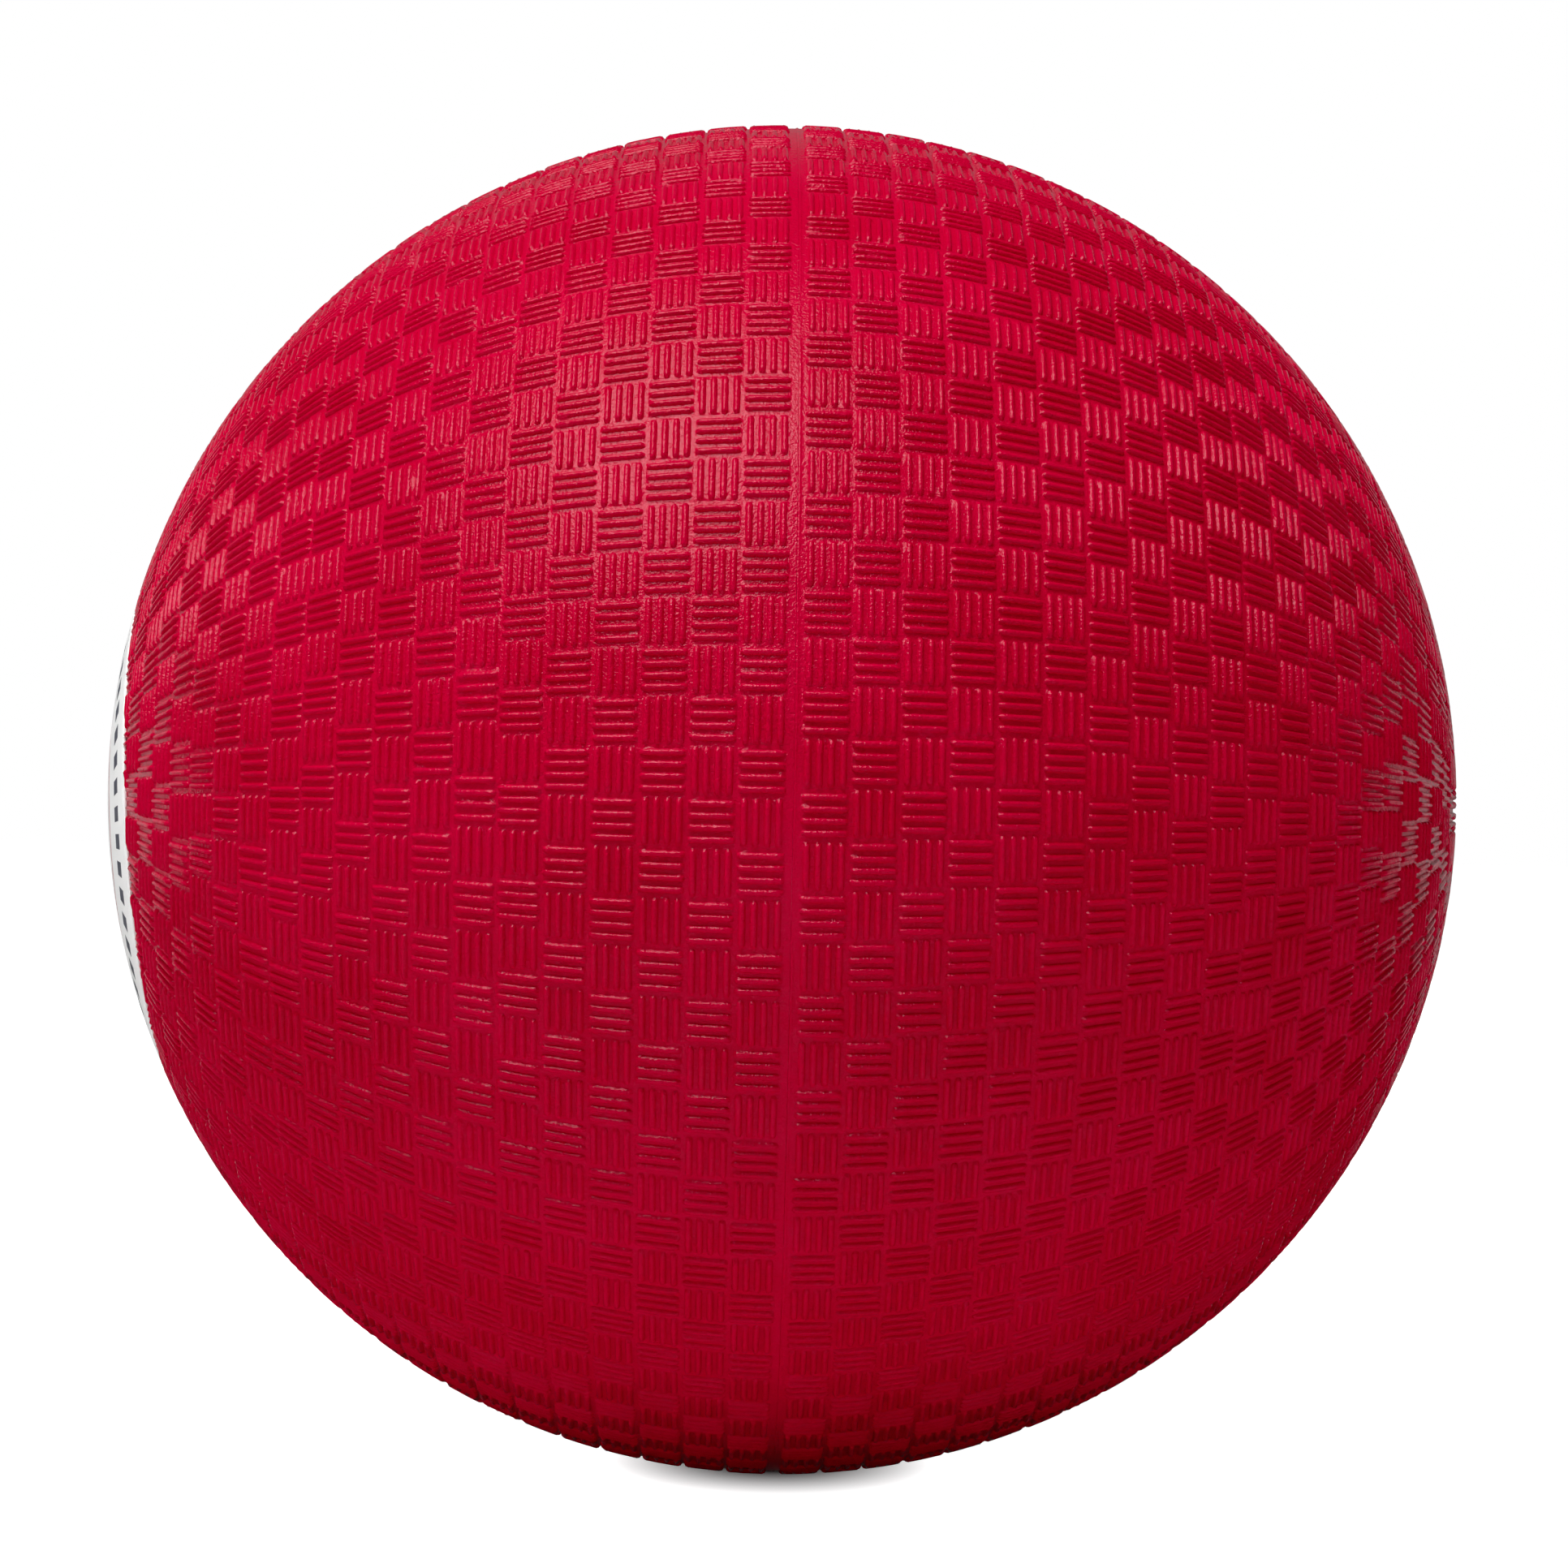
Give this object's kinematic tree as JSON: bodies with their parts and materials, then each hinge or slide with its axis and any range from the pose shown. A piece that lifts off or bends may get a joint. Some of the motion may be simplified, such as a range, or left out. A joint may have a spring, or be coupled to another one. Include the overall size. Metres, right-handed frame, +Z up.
{
  "type": "playground ball",
  "caption": "Inflated rubber playground ball with a raised basket-weave grip texture, a round printed label, and a self-sealing needle valve on the other side.",
  "frame": {"origin": "centre of the ball", "axes": "+X out through the valve; the seam between the cover halves lies in the YZ plane; the round label is round -X, with its middle 4 degrees below it; +Z up"},
  "size_m": [0.2156, 0.216, 0.216],
  "materials": {
    "cover_rubber": "semi-gloss crimson moulded rubber with a fine grain",
    "label_print": "satin white transfer",
    "wound_nylon": "wound thread set in rubber",
    "bladder_rubber": "matt butyl rubber",
    "patch_rubber": "matt rubberised patch",
    "valve_rubber": "satin moulded rubber",
    "plug_rubber": "soft gum rubber, lubricated"
  },
  "bodies": {
    "root": {"cover_label_half": "cover_rubber", "cover_valve_half": "cover_rubber", "label_disc": "label_print", "carcass": "wound_nylon", "bladder": "bladder_rubber", "bladder_patch": "patch_rubber", "valve_housing": "valve_rubber", "valve_plug": "plug_rubber"}
  },
  "joints": []
}
